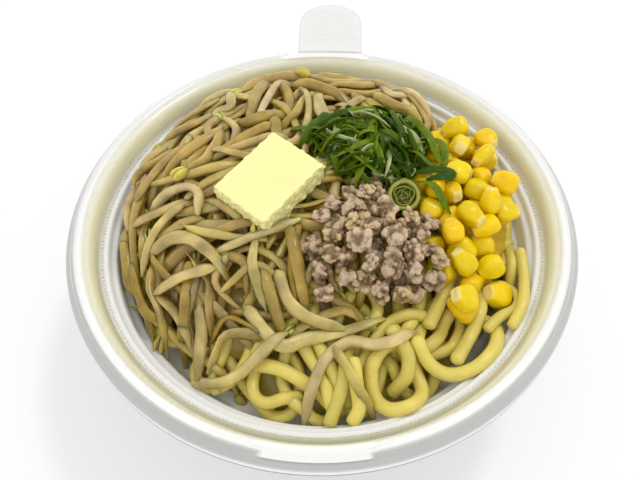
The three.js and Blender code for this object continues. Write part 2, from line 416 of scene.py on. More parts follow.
def core_shape(shape, pile, target, middle, sink, shrink, tint, low, seed, steps=96, rings=22):
    """A closed mound a little under the top of a heap, inside its outline, which is about the middle. Its
    tint is darker than the pieces laid on it: painted shade in the gaps between them.
    """
    points = []
    middle = np.array(middle, float)
    distances = np.arange(0, 100, 0.5)
    for share in np.linspace(0, 1, rings + 1):
        for step in range(steps):
            way = np.array([math.cos(TAU * step / steps), math.sin(TAU * step / steps)])
            spots = middle + distances[:, None] * way
            inside = target[cells(spots)] > 0
            edge = max(1, distances[inside].max() - shrink)
            points.append((*(middle + edge * share * way), 0))
    points = np.array(points)
    high = target[cells(points)] - sink + 0.9 * ripples(points, 9, seed)
    points[:, 2] = np.maximum(high, low + 0.8)
    foot = points[-steps:] * (1, 1, 0) + (0, 0, low)
    shape.add(np.concatenate([points, foot]), ring_faces(rings + 2, steps), tint)
    spread = [points + (dx, dy, 0) for dx in (-1.2, 0, 1.2) for dy in (-1.2, 0, 1.2)]
    pile.cover_points(np.concatenate(spread))


# ---- materials ----
def feed(tree, node, inputs):
    """Sets a node's inputs, each to a constant or from another node's output."""
    for name, value in inputs.items():
        if isinstance(value, bpy.types.NodeSocket):
            tree.links.new(value, node.inputs[name])
        else:
            node.inputs[name].default_value = value


def add_node(tree, kind, inputs, **settings):
    """Adds a node and gives its outputs."""
    node = tree.nodes.new("ShaderNode" + kind)
    for name, value in settings.items():
        setattr(node, name, value)
    feed(tree, node, inputs)
    return node.outputs


def new_material(name):
    """A material, its node tree and its shader."""
    material = bpy.data.materials.new(name)
    material.use_nodes = True
    return material, material.node_tree, material.node_tree.nodes["Principled BSDF"]


def spread(tree, noise_value, low, high):
    """The middle stretch of a noise, from 0.3 to 0.7, spread from low to high."""
    inputs = {"Value": noise_value, "From Min": 0.3, "From Max": 0.7, "To Min": low, "To Max": high}
    return add_node(tree, "MapRange", inputs)["Result"]


def food(name, roughness, grain, shade, relief, bump_width, inner, inner_colour, inner_depth=2.0, coat=0.0,
         specular=0.5, grains=False):
    """A material coloured by the mesh's tint, with mottled colour, uneven gloss and a fine relief, which is
    of round grains or of soft noise."""
    material, tree, shader = new_material(name)
    tint = add_node(tree, "Attribute", {}, attribute_name="tint")["Color"]
    place = add_node(tree, "TexCoord", {})["Object"]
    mottle = add_node(tree, "TexNoise", {"Scale": grain, "Detail": 4, "Vector": place})["Fac"]
    share = spread(tree, mottle, TONE * (1 - shade), TONE * (1 + shade * 0.6))
    if grains:
        inputs = {"Scale": bump_width, "Smoothness": 0.35, "Vector": place}
        height = add_node(tree, "TexVoronoi", inputs, feature="SMOOTH_F1")["Distance"]
        relief = -relief
    else:
        height = add_node(tree, "TexNoise", {"Scale": bump_width, "Detail": 5, "Vector": place})["Fac"]
    inputs = {"Strength": 1, "Distance": relief * MM, "Height": height}
    feed(tree, shader, {
        "Base Color": add_node(tree, "VectorMath", {0: tint, "Scale": share}, operation="SCALE")["Vector"],
        "Roughness": spread(tree, mottle, roughness * 0.75, min(1, roughness * 1.3)),
        "Normal": add_node(tree, "Bump", inputs)["Normal"],
        "Subsurface Weight": inner,
        "Subsurface Radius": inner_colour,
        "Subsurface Scale": inner_depth * MM,
        "Specular IOR Level": specular,
        "Coat Weight": coat,
        "Coat Roughness": 0.14,
    })
    return material


def clear_plastic(name):
    """Thin clear film. Light goes straight through, but for a shine that grows at a slant and a haze, whose
    colour and amount are the mesh's tint."""
    material, tree, shine = new_material(name)
    tint = add_node(tree, "Attribute", {}, attribute_name="tint")
    feed(tree, shine, {"Roughness": 0.08, "Base Color": tint["Color"]})
    through = add_node(tree, "BsdfTransparent", {"Color": (0.999, 0.999, 0.995, 1)})["BSDF"]
    slant = add_node(tree, "LayerWeight", {"Blend": 0.5})["Facing"]
    steep = add_node(tree, "Math", {0: slant, 1: 4}, operation="POWER")["Value"]
    inputs = {0: steep, 1: 0.6, 2: tint["Alpha"]}
    both = add_node(tree, "Math", inputs, operation="MULTIPLY_ADD", use_clamp=True)["Value"]
    mix = add_node(tree, "MixShader", {"Fac": both, 1: through, 2: shine.outputs["BSDF"]})["Shader"]
    feed(tree, tree.nodes["Material Output"], {"Surface": mix})
    return material


# ---- bowl and tray ----
def arc(start, control, end, count):
    """Points of a quadratic curve after its start."""
    shares = np.linspace(0, 1, count + 1)[1:, None]
    start, control, end = (np.array(p, float) for p in (start, control, end))
    return ((1 - shares) ** 2 * start + 2 * shares * (1 - shares) * control + shares**2 * end).tolist()


def lathe(shape, line, thickness, steps, tint, lift=None):
    """A wall of that thickness turned about the axis, whose points lift(x, y) raises. tint(radius, height,
    upper) gives the colour and haze of its lower and its upper side."""
    line = np.array(line, float)
    along = np.gradient(line, axis=0)
    along /= np.linalg.norm(along, axis=1)[:, None]
    side = np.stack([along[:, 1], -along[:, 0]], 1) * thickness / 2
    side[0, 0] = 0
    outline = np.concatenate([line + side, (line - side)[::-1]])
    outline[:, 0] = np.maximum(outline[:, 0], 0.02)
    angles = np.arange(steps) * TAU / steps
    x = outline[:, None, 0] * np.cos(angles)
    y = outline[:, None, 0] * np.sin(angles)
    z = np.broadcast_to(outline[:, None, 1], x.shape).copy()
    if lift:
        z += lift(x, y)
    points = np.stack([x, y, z], -1).reshape(-1, 3)
    tints = [tint(radius, height, number >= len(line)) for number, (radius, height) in enumerate(outline)]
    tints = np.repeat(tints, steps, 0)
    shape.add(points, ring_faces(len(outline), steps), tints[:, :3], tints[:, 3])


def foam_colour_and_painted_light(radius, height, upper):
    """White on the rim, with painted shade: greyer on its outer slope, a dark line at its foot and a little
    darker on the bowl's outside. Yellower and darker down the inner wall, painted light thrown back from the
    food.
    """
    white = np.array([0.95, 0.95, 0.94, 1])
    # Painted shade: the outside of the bowl is a little darker.
    if not upper:
        return white * 0.9
    # Painted yellow light thrown back from the food, down the inner wall.
    inner = 1 - smoothstep(height, RIM_TOP - 4, RIM_TOP - 0.3)
    inner *= smoothstep(NECK_RADIUS + 3 - radius, 0, 1.5)
    tint = white * (1 - inner) + np.array([0.93, 0.89, 0.58, 1]) * inner
    # Painted shade: greyer on the rim's outer slope, and a dark line at the foot of the lip.
    slope = smoothstep(radius, 84.9, 85.6) * smoothstep(height, LIP_BOTTOM + 2.4, LIP_BOTTOM + 4.0)
    foot = smoothstep(radius, 88, 88.6) * (1 - smoothstep(height, LIP_BOTTOM + 0.7, LIP_BOTTOM + 1.1))
    return tint * (1 - 0.45 * slope - 0.7 * foot)


def make_bowl():
    """From the base up the wall, over the rim and down the lip."""
    half = BOWL_WALL / 2
    line = [(0, half), (BASE_RADIUS - 5, half)]
    line += arc(line[-1], (BASE_RADIUS, half), (BASE_RADIUS + 3, 6), 8)
    line += arc(line[-1], (75, 38), (NECK_RADIUS, RIM_TOP - 6), 24)
    line += arc(line[-1], (82, RIM_TOP - half), (84.5, RIM_TOP - half), 10)
    line += arc(line[-1], (88, RIM_TOP - half - 0.4), (RIM_RADIUS - half, RIM_TOP - 3), 10)
    line += [(RIM_RADIUS - half, z) for z in np.linspace(RIM_TOP - 3.4, LIP_BOTTOM, 8)]
    shape = Shape()
    lathe(shape, line, BOWL_WALL, 240, foam_colour_and_painted_light)
    material = food("white_foam", roughness=0.42, grain=500, shade=0.02, relief=0.03, bump_width=900,
                    inner=0.2, inner_colour=(1, 0.98, 0.9), inner_depth=2)
    shape.object("foam_bowl", material, "bowl")


def rib_lift(x, y):
    """How much the rib raises the tray's flange, which stays flat at the two landings."""
    radius = np.hypot(x, y)
    across = np.clip(1 - ((radius - RIB_MIDDLE) / RIB_HALF_WIDTH) ** 2, 0, 1)
    return RIB_HEIGHT * np.sqrt(across) * smoothstep(np.abs(x), LANDING_HALF_WIDTH, LANDING_HALF_WIDTH + 4)


def film_colour_and_painted_light(radius, _, upper):
    """The film's colour and haze, much of it painted light: milky on the ledge and below it and along the
    rib's top, standing in for highlights and the bright white foam behind the film, and faintly yellow on
    the wall above, light thrown back from the food.
    """
    # Painted light: the milky haze on the ledge and below it stands in for highlights and the bright foam
    # behind the film.
    low = 1 - smoothstep(radius, LEDGE_RADIUS + 0.6, LEDGE_RADIUS + 2.0)
    # A painted highlight along the top of the rib.
    painted_crest_highlight = smoothstep(radius, 82.2, 83.2) * (1 - smoothstep(radius, 85.0, 85.8))
    colour = np.array([0.97, 0.94, 0.70]) * (1 - low) + np.array([0.98, 0.98, 0.96]) * low
    colour = colour + (0.98 - colour) * max(painted_crest_highlight, smoothstep(radius, 85, 86))
    # Painted yellow light from the food: a faint haze on the wall above the ledge.
    wall = (1 - low) * (1 - smoothstep(radius, 81.5, 83))
    return np.array([*colour, 0.02 + upper * (low * 0.8 + 0.5 * painted_crest_highlight + 0.36 * wall)])


def tray_line():
    """The middle line of the tray's wall, as radius and height, without the rib on its flange."""
    half = TRAY_WALL / 2
    floor = TRAY_FLOOR - half
    line = [(0, floor)]
    for radius in np.linspace(6, FLOOR_RADIUS, 50):
        line.append((radius, floor - 0.25 * (1 + math.cos(radius * TAU / 5.5)) * (radius < FLOOR_RADIUS)))
    line += arc(line[-1], (69.4, floor), (69.9, TRAY_FLOOR + 6), 8)
    line += arc(line[-1], (70.1, TRAY_FLOOR + 8), (71.2, TRAY_FLOOR + 8.1), 5)
    line += arc((72.2, TRAY_FLOOR + 8.2), (72.7, TRAY_FLOOR + 8.3), (72.9, TRAY_FLOOR + 9.2), 4)
    line += arc(line[-1], (73.1, TRAY_FLOOR + 14.6), (74.0, TRAY_FLOOR + 14.8), 6)
    line += arc((74.9, TRAY_FLOOR + 15), (75.3, TRAY_FLOOR + 15.1), (75.5, TRAY_FLOOR + 16), 4)
    line += arc(line[-1], (75.7, LEDGE_HEIGHT - half), (76.5, LEDGE_HEIGHT - half), 6)
    line += [(LEDGE_RADIUS + 1, LEDGE_HEIGHT - half)]
    line += arc(line[-1], (79.2, FLANGE_HEIGHT - 0.2), (82, FLANGE_HEIGHT), 8)
    for share in np.linspace(0.04, 1, 26):
        line.append((82 + share * (FLANGE_EDGE - 82), FLANGE_HEIGHT - 1.1 * max(0, share - 0.4)))
    return line


def make_tray():
    """The turned wall with its flutes and tab. The flange is hazier at the landings."""
    shape = Shape()
    lathe(shape, tray_line(), TRAY_WALL, 288, film_colour_and_painted_light, rib_lift)
    x, y, z = shape.points[0].T
    landing = (np.abs(x) < LANDING_HALF_WIDTH) & (np.hypot(x, y) > 82.5) & (z > FLANGE_HEIGHT - 1)
    shape.tints[0][landing, 3] = 0.7
    add_flutes(shape)
    add_tab(shape)
    shape.object("clear_tray", clear_plastic("clear_film"), "tray")


def empty_tray():
    """The height of the tray's upper side over each cell."""
    radii, heights = np.array(tray_line()).T
    return np.interp(ACROSS, radii, heights + TRAY_WALL / 2)


def add_flutes(shape):
    """Small upright flutes all round the corner of the tray's ledge, which catch the light."""
    count = 320
    for flute in range(count):
        angle = TAU * flute / count
        way = np.array([math.cos(angle), math.sin(angle), 0])
        line = np.array([
            (LEDGE_RADIUS + 0.1 + 1.7 * s) * way + np.array([0, 0, LEDGE_HEIGHT + 1.3 * s * s + 0.1])
            for s in np.linspace(0, 1, 5)
        ])
        points, faces = tube(line, [0.12, 0.38, 0.45, 0.38, 0.12], 6)
        # Their milky haze is a painted highlight.
        shape.add(points, faces, (0.97, 0.96, 0.88), 0.6)


def add_tab(shape):
    """The round-ended pull tab, with low ridges across it."""
    rows, columns = 90, 25
    start = FLANGE_EDGE - 1.5
    upper = []
    for row in range(rows):
        y = start + (TAB_TIP - start) * row / (rows - 1)
        beyond = max(0, y - (TAB_TIP - TAB_HALF_WIDTH))
        half_width = math.sqrt(max(0.3, TAB_HALF_WIDTH**2 - beyond**2))
        inset = smoothstep(y, start + 3, start + 7) * smoothstep(TAB_TIP - y, 2, 5)
        for column in range(columns):
            across = 2 * column / (columns - 1) - 1
            edge = 1 - abs(across) ** 8
            ridge = 0.22 * math.sin(y * TAU / 1.9) * edge * inset
            upper.append((TAB_SHIFT + half_width * across, y, FLANGE_HEIGHT + 0.25 + ridge))
    upper = np.array(upper)
    lower = upper - (0, 0, TRAY_WALL)
    faces = []
    size = rows * columns
    for row in range(rows - 1):
        for column in range(columns - 1):
            a = row * columns + column
            faces.append((a, a + 1, a + 1 + columns, a + columns))
            faces.append((a + size, a + columns + size, a + 1 + columns + size, a + 1 + size))
    rim = list(range(columns)) + [r * columns + columns - 1 for r in range(1, rows)]
    rim += [(rows - 1) * columns + c for c in range(columns - 2, -1, -1)]
    rim += [r * columns for r in range(rows - 2, 0, -1)]
    for a, b in zip(rim, rim[1:] + rim[:1]):
        faces.append((a, a + size, b + size, b))
    shape.add(np.concatenate([upper, lower]), faces, (0.72, 0.72, 0.70), 0.35)


# ---- food ----
def two_ways(rng, place, length, step, bend, tightest, reach):
    """A strand's plan on both sides of a place, and the place's index in it."""
    heading = rng.uniform(0, TAU)
    forth = wander(rng, place, heading, length * rng.uniform(0.3, 0.7), step, bend, tightest, reach)
    back = wander(rng, place, heading + math.pi, length * rng.uniform(0.3, 0.7), step, bend, tightest, reach)
    return np.concatenate([back[:0:-1], forth]), len(back) - 1


def fitting_run(over, middle, limit):
    """The stretch round the middle where a strand stays below the limit, as first and last index."""
    if over[middle] > limit:
        return middle, middle
    first, last = middle, middle
    while first > 0 and over[first - 1] < limit:
        first -= 1
    while last < len(over) - 1 and over[last + 1] < limit:
        last += 1
    return first, last


def tucked(line, z, first, last, count=5, fall=0.55):
    """The stretch with its ends led on down into the heap, where the plan has more."""
    start, end = max(0, first - count), min(len(line) - 1, last + count)
    path = np.column_stack([line, z])[start : end + 1]
    steps = np.arange(start, end + 1)
    step = np.linalg.norm(line[1] - line[0])
    before = np.clip(first - steps, 0, None) * step
    after = np.clip(steps - last, 0, None) * step
    path[:, 2] = np.where(before > 0, z[first] - fall * before, path[:, 2])
    path[:, 2] = np.where(after > 0, z[last] - fall * after, path[:, 2])
    path[:, 2] = eased(path[:, 2], 3)
    return path


def lane(field, plans, width, depth):
    """The field lowered along the plans, to keep room for the strands that are to be seen there."""
    near = np.zeros(field.shape, bool)
    for plan in plans:
        for x, y in plan[::2]:
            near |= (CELL_X - x) ** 2 + (CELL_Y - y) ** 2 < width**2
    return np.where(near, field - depth, field)


def add_noodle(shape, rng, path, radius):
    swell = 1 + 0.03 * ripples(path, 14, rng)
    path, thick = blunt_ends(path, radius * swell)
    points, faces = tube(path, thick, 14, 0.95)
    tone = np.array([0.78, 0.655, 0.145]) * rng.uniform(0.9, 1.06)
    shape.add(points, faces, tone * (1 + 0.05 * ripples(points, 9, rng)[:, None]))


def make_noodles(pile, target, above):
    """above is the top of what lies on the noodles, which stay a little lower under it."""
    rng = np.random.default_rng(11)
    shape = Shape()
    sink = 10
    # The core's dark olive tint is painted shade in the gaps between the noodles.
    core_shape(shape, pile, target, (0, 0), sink, shrink=6, tint=(0.44, 0.36, 0.05), low=TRAY_FLOOR + 0.1,
               seed=3)
    within = (target > 0) & (ACROSS < NOODLE_REACH - 8)
    pile.height = np.where(within, np.maximum(pile.height, target - sink), pile.height)
    chosen = [(spline(plan, NOODLE_STEP), NOODLE_RADIUS) for plan in TOP_NOODLES]
    chosen += [(spline(plan, NOODLE_STEP), 0.82 * NOODLE_RADIUS) for plan in EDGE_NOODLES]
    goal = np.where(above > target, target - 1.5, target)
    goal = np.where(ACROSS < NOODLE_REACH - 1.5, goal, NOTHING)
    goal = lane(goal, [line for line, _ in chosen], width=3.2, depth=3.6)
    for _ in range(NOODLE_TRIES):
        best = None
        for place in roomy_places(rng, goal, pile, 12, 2.0):
            length = rng.uniform(70, 170)
            line, middle = two_ways(rng, place, length, NOODLE_STEP, 1 / 18, 1 / 6, NOODLE_REACH)
            radius = NOODLE_RADIUS * rng.uniform(0.86, 1.06)
            radii = np.full(len(line), radius)
            z = pile.drape(line, radii)
            over = z + radius - goal[cells(line)]
            first, last = fitting_run(over, middle, 2.0)
            run = slice(first, last + 1)
            score = np.minimum(2.5 - over[run], 5).sum() - 8
            if last - first > 12 and (best is None or score > best[0]):
                best = (score, line, radii, z, first, last)
        if best is None:
            continue
        score, line, radii, z, first, last = best
        run = slice(first, last + 1)
        pile.cover(line[run], z[run], radii[run])
        add_noodle(shape, rng, tucked(line, z, first, last), radii[0])
    for line, radius in chosen:
        radii = np.full(len(line), radius)
        z = pile.drape(line, radii, slack=20)
        pile.cover(line, z, radii)
        add_noodle(shape, rng, np.column_stack([line, z]), radius)
    material = food("noodle", roughness=0.33, grain=260, shade=0.06, relief=0.05, bump_width=1400, inner=0.5,
                    inner_colour=(1, 0.8, 0.25), inner_depth=2.0, coat=0.35, specular=0.3)
    shape.object("noodle_strands", material, "noodles")


def kinked(rng, place, length, step):
    """The plan of a stem whose middle is at a place: a long bend, with now and then a sharper one."""
    count = int(length / step)
    steps = np.arange(count)
    turn = np.full(count, rng.normal() * step / 48)
    for _ in range(rng.choice([0, 1, 1, 2])):
        spot = rng.uniform(0.15, 0.85) * count
        turn += rng.normal() * 0.34 * np.exp(-(((steps - spot) * step / 2.6) ** 2))
    headings = rng.uniform(0, TAU) + np.cumsum(turn)
    line = np.cumsum(np.column_stack([np.cos(headings), np.sin(headings)]) * step, 0)
    return line - line[count // 2] + place


def sprout_radii(rng, shares, thick, tailed):
    """From the root end, thin where it still has its tail, to the head end."""
    body = 0.90 + 0.10 * np.sin(np.clip(shares * 1.2, 0, 1) * math.pi)
    body *= 1 - 0.55 * smoothstep(shares, 0.86, 1.0)
    if tailed:
        tail = rng.uniform(0.05, 0.2)
        body = body * (0.2 + 0.8 * smoothstep(shares, tail * 0.6, tail + 0.08))
    else:
        body = body * (0.5 + 0.5 * smoothstep(shares, 0, 0.06))
    return thick * body


def add_head(shape, rng, end, way):
    """The two seed leaves at a sprout's end."""
    points, faces = BALL_COARSE
    colour = np.array([0.64, 0.55, 0.12]) * rng.uniform(0.8, 1.1)
    side = np.cross(way, (0.1, 0.2, 1))
    side /= np.linalg.norm(side)
    other = np.cross(way, side)
    basis = np.stack([way, side, other])
    for sign in (-1, 1):
        leaf = points * (3.4, 1.4, 2.1)
        leaf[:, 1] = np.where(leaf[:, 1] * sign > 0, leaf[:, 1], leaf[:, 1] * 0.4) + sign * 0.75
        leaf[:, 1] += sign * 0.10 * leaf[:, 0]
        leaf = leaf @ basis + end + way * 2.0
        shape.add(leaf, faces, colour * (1 + 0.08 * ripples(leaf, 3, 1)[:, None]))


def make_sprouts(pile, target):
    rng = np.random.default_rng(23)
    shape = Shape()
    # The core's brown tint is painted shade in the gaps between the stems.
    core_shape(shape, pile, target, SPROUT_MIDDLE, sink=8, shrink=7, tint=(0.40, 0.28, 0.06),
               low=TRAY_FLOOR + 3, seed=6, steps=80, rings=18)
    chosen = [spline(plan, SPROUT_STEP) for plan in TOP_SPROUTS]
    goal = lane(target, chosen, width=3.2, depth=3.0)
    for _ in range(SPROUT_TRIES):
        best = None
        for place in roomy_places(rng, goal, pile, 12, 1.5):
            line = kinked(rng, place, rng.uniform(26, 56), SPROUT_STEP)
            if np.hypot(line[:, 0], line[:, 1]).max() > SPROUT_REACH:
                continue
            tailed = rng.random() < 0.5
            thick = SPROUT_RADIUS * rng.uniform(0.78, 1.22)
            radii = sprout_radii(rng, np.linspace(0, 1, len(line)), thick, tailed)
            z = pile.drape(line, radii * SPROUT_FLATNESS, slack=24, sink=0.25)
            cover = goal[cells(line)]
            over = z + radii * SPROUT_FLATNESS - cover
            inside = cover > 0
            if inside.mean() < 0.75 or over[inside].max() > 4.2:
                continue
            score = np.minimum(-over[inside], 4).mean() - 3 * np.maximum(over[inside] - 1, 0).mean()
            if best is None or score > best[0]:
                best = (score, line, radii, z, tailed)
        if best is None or best[0] < -2.5:
            continue
        score, line, radii, z, tailed = best
        pile.cover(line, z, radii * SPROUT_FLATNESS)
        fresh = 0.9 * rng.random()
        add_sprout(shape, rng, np.column_stack([line, z]), radii, tailed, headed=0.32, fresh=fresh)
    for line in chosen:
        radii = sprout_radii(rng, np.linspace(0, 1, len(line)), SPROUT_RADIUS * 1.05, False)
        z = pile.drape(line, radii * SPROUT_FLATNESS, slack=24, sink=0.25)
        pile.cover(line, z, radii * SPROUT_FLATNESS)
        fresh = rng.uniform(0.85, 1.25)
        add_sprout(shape, rng, np.column_stack([line, z]), radii, tailed=False, headed=0.25, fresh=fresh)
    material = food("sprout", roughness=0.2, grain=170, shade=0.22, relief=0.3, bump_width=330, inner=0.9,
                    inner_colour=(1, 0.8, 0.4), inner_depth=4.0, coat=0.35, specular=0.3)
    shape.object("sprout_stems", material, "bean_sprouts")


def add_sprout(shape, rng, path, radii, tailed, headed, fresh):
    """headed is how likely it is to have its head still, and fresh how pale it is."""
    sides = 9
    twist = rng.uniform(-0.6, 0.6) + 0.9 * ripples(path, 45, rng)
    rough = radii * (1 + 0.08 * ripples(path, 9, rng))
    limp = rng.random() < 0.4
    path, thick = blunt_ends(path, rough * (1.15 if limp else 1))
    twist = stretched(twist, len(path))
    flatness = rng.uniform(0.36, 0.55) if limp else rng.uniform(0.6, 0.85)
    outline = 1 + 0.09 * rng.normal(size=sides).clip(-1.5, 1.5)
    points, faces = tube(path, thick, sides, flatness, twist, outline=outline)
    shares = np.repeat(np.linspace(0, 1, len(path)), sides)[:, None]
    stem = np.array([0.45, 0.305, 0.06]) * (1 - fresh) + np.array([0.63, 0.505, 0.24]) * fresh
    stem = stem * (1, rng.uniform(0.96, 1.05), rng.uniform(0.7, 1.15))
    root = np.array([0.36, 0.23, 0.05])
    green = np.array([0.56, 0.50, 0.10])
    tint = stem + (green - stem) * smoothstep(shares, 0.7, 1) * 0.6
    if tailed:
        tint = tint + (root - tint) * (1 - smoothstep(shares, 0.03, 0.24)) * 0.75
    mottling = 0.17 * ripples(points, 10, rng)
    mottling += 0.08 * ripples(points, 3.5, rng)
    tint = tint * (1 + mottling[:, None])
    # Darker and more yellow-brown towards the front, less so for the paler stems.
    darker_to_front = (1 - smoothstep(points[:, 1], -60, 30)[:, None]) * np.clip(1.3 - fresh, 0, 1)
    tint = tint * (1 - darker_to_front * np.array([0.30, 0.36, 0.66]))
    shape.add(points, faces, tint)
    if rng.random() < headed:
        way = path[-1] - path[-4]
        add_head(shape, rng, path[-1], way / np.linalg.norm(way))


def kernel(rng):
    """One kernel of sweetcorn: a rounded wedge with a broad crown and a pale cut tip."""
    points, faces = BALL_FINE
    boxy = np.sign(points) * np.abs(points) ** (0.62, 0.62, 0.8)
    z = boxy[:, 2]
    wide = 0.62 + 0.38 * smoothstep(z, -1, 0.25)
    deep = 0.74 + 0.26 * smoothstep(z, -1, 0.2)
    shaped = np.column_stack([boxy[:, 0] * wide * 4.5, boxy[:, 1] * deep * 3.5, z * 5.5])
    dent = np.exp(-((shaped[:, 0] / 2.4) ** 2) - (shaped[:, 1] / 1.5) ** 2)
    shaped[:, 2] -= smoothstep(z, 0.5, 1.0) * 0.5 * dent
    tip = smoothstep(-z, 0.66, 0.86)
    shaped[:, 2] = np.maximum(shaped[:, 2], -4.5 + 0.25 * ripples(shaped, 2.2, rng))
    shaped *= rng.uniform(0.84, 1.02) * (1 + 0.05 * rng.normal(size=3))
    shaped += 0.16 * ripples(shaped, 6, rng)[:, None] * points
    yellow = np.array([0.94, 0.68, 0.002]) * rng.uniform(0.88, 1.04)
    yellow = yellow * (1, rng.uniform(0.9, 1.05), 1)
    pale = np.array([0.92, 0.80, 0.30])
    tint = yellow + (pale - yellow) * tip[:, None] * 0.9
    return shaped, faces, tint


def crumble(rng, size, fine):
    """A crumble of cooked mince: soft lumps of mixed sizes stuck together."""
    ways, faces = BALL_FINEST if fine else BALL_FINE
    lumps = int(np.clip(2 * size * size, 12, 44))
    middles = rng.normal(size=(lumps, 3))
    middles *= rng.uniform(0.35, 0.85, (lumps, 1)) / np.linalg.norm(middles, axis=1)[:, None]
    radii = rng.uniform(0.7, 2.1, lumps) / size
    along = ways @ middles.T
    off = np.maximum((middles**2).sum(1) - along**2, 0)
    exits = np.where(radii**2 > off, along + np.sqrt(np.maximum(radii**2 - off, 0)), 0.5)
    reach = np.log(np.exp(14 * np.maximum(exits, 0.5)).mean(1)) / 14
    points = ways * reach[:, None] * size * rng.uniform(0.7, 1.3, 3)
    rough = 0.24 * ripples(points, 1.7, rng, 14)
    rough += 0.16 * ripples(points, 0.85, rng, 14)
    points += ways * rough[:, None]
    deep = reach + rough / size
    # Painted shade: dark brown deep in the crevices, lighter on the bumps.
    painted_lit_share = smoothstep(deep, np.percentile(deep, 8), np.percentile(deep, 75))[:, None]
    tone = rng.uniform(0.85, 1.12) * np.array([1, 1, rng.uniform(0.85, 1.2)])
    tint = (np.array([0.19, 0.115, 0.04]) * (1 - painted_lit_share) + np.array([0.66, 0.48, 0.28]) * painted_lit_share) * tone
    return points, faces, tint


def lying(rng, points):
    """The points turned at random, mostly with their long axis, which is upright, laid level."""
    lean = math.radians(90 + 22 * rng.normal())
    if rng.random() < 0.2:
        lean = math.radians(rng.uniform(0, 60))
    leaning = turned(turned(points, rng.uniform(0, TAU), "Z"), lean, "X")
    return turned(leaning, rng.uniform(0, TAU), "Z")


def heap_up(shape, rng, pile, target, make, count, tries, limit, sink):
    """Drops small solids one by one where they fit best under the target, or at most limit above it."""
    for number in range(count):
        places = roomy_places(rng, target, pile, tries, 0.8)
        if not places:
            break
        best = None
        points, faces, tint = make(number)
        for place in places:
            spot = lying(rng, points) + (*place, 0)
            if np.hypot(spot[:, 0], spot[:, 1]).max() > HEAP_REACH:
                continue
            spot[:, 2] += pile.drop(spot, sink)
            top = target[cells(place)]
            over = np.percentile(spot[:, 2], 97) - top
            score = -max(over, 0) * 2 - 0.25 * spot[:, 2].mean() + 0.25 * top
            if best is None or score > best[0]:
                best = (score, spot, over)
        if best is None or best[2] > limit:
            continue
        pile.cover_points(best[1])
        shape.add(best[1], faces, tint)


def make_corn(pile, target):
    rng = np.random.default_rng(37)
    shape = Shape()
    low = pile.height[cells(CORN_MIDDLE)] - 6
    # The core's deep orange tint is painted shade in the gaps between the kernels.
    core_shape(shape, pile, target, CORN_MIDDLE, sink=10, shrink=6, tint=(0.62, 0.40, 0.01), low=low, seed=4,
               steps=60, rings=14)
    goal = lane(target, [spline(plan, NOODLE_STEP) for plan in EDGE_NOODLES], width=3.6, depth=1000)
    heap_up(shape, rng, pile, goal, lambda number: kernel(rng), KERNELS, tries=36, limit=4.2, sink=2.0)
    points, faces, tint = kernel(rng)
    loose = lying(rng, points) + (*LOOSE_KERNEL, 0)
    loose[:, 2] += pile.drop(loose)
    shape.add(loose, faces, tint)
    material = food("sweetcorn", roughness=0.26, grain=400, shade=0.07, relief=0.05, bump_width=900,
                    inner=0.3, inner_colour=(1, 0.75, 0.1), inner_depth=1.4, coat=0.2, specular=0.2)
    shape.object("corn_kernels", material, "corn")


def make_pork(pile, target):
    rng = np.random.default_rng(41)
    sizes = sorted(rng.uniform(2.2, 5.4, CRUMBLES), reverse=True)
    shape = Shape()
    heap_up(shape, rng, pile, target, lambda number: crumble(rng, sizes[number], number < FINE_CRUMBLES),
            CRUMBLES, tries=34, limit=3.0, sink=1.4)
    material = food("minced_meat", roughness=0.45, grain=1300, shade=0.25, relief=0.35, bump_width=1000,
                    inner=0.12, inner_colour=(1, 0.6, 0.4), inner_depth=0.8, coat=0.12, grains=True)
    shape.object("pork_crumbles", material, "minced_pork")


def add_shred(shape, rng, pile, plan, half_width, pale, rise, closed, edgeways):
    """A flat shred of onion leaf, laid on the pile, and its heights."""
    shares = np.linspace(0, 1, len(plan), endpoint=not closed)
    radii = np.full(len(plan), half_width)
    if not closed:
        radii = half_width * (0.35 + 0.65 * np.minimum(1, 5.5 * np.minimum(shares, 1 - shares)))
    z = pile.drape(plan, radii * 0.5, slack=10, soft=6, sink=0.1)
    z = z + rise * np.sin(math.pi * shares) ** 2 + 0.6 * abs(math.sin(edgeways)) * half_width
    path = np.column_stack([plan, z])
    twist = edgeways + 0.35 * ripples(path, 14, rng)
    if not closed:
        path, radii = blunt_ends(path, radii, 0.3)
        twist = stretched(twist, len(path))
    points, faces = tube(path, radii, 10, min(0.5, 0.32 / half_width), twist, closed)
    leaf = np.array([0.028, 0.082, 0.0005]) + rng.random() ** 1.3 * np.array([0.16, 0.19, 0.004])
    if pale:
        leaf = np.array([0.46, 0.50, 0.22])
    across = np.tile(np.abs(np.cos(np.arange(10) * TAU / 10)), len(path))[:, None]
    shape.add(points, faces, leaf * (0.85 + 0.5 * across**6))
    return z


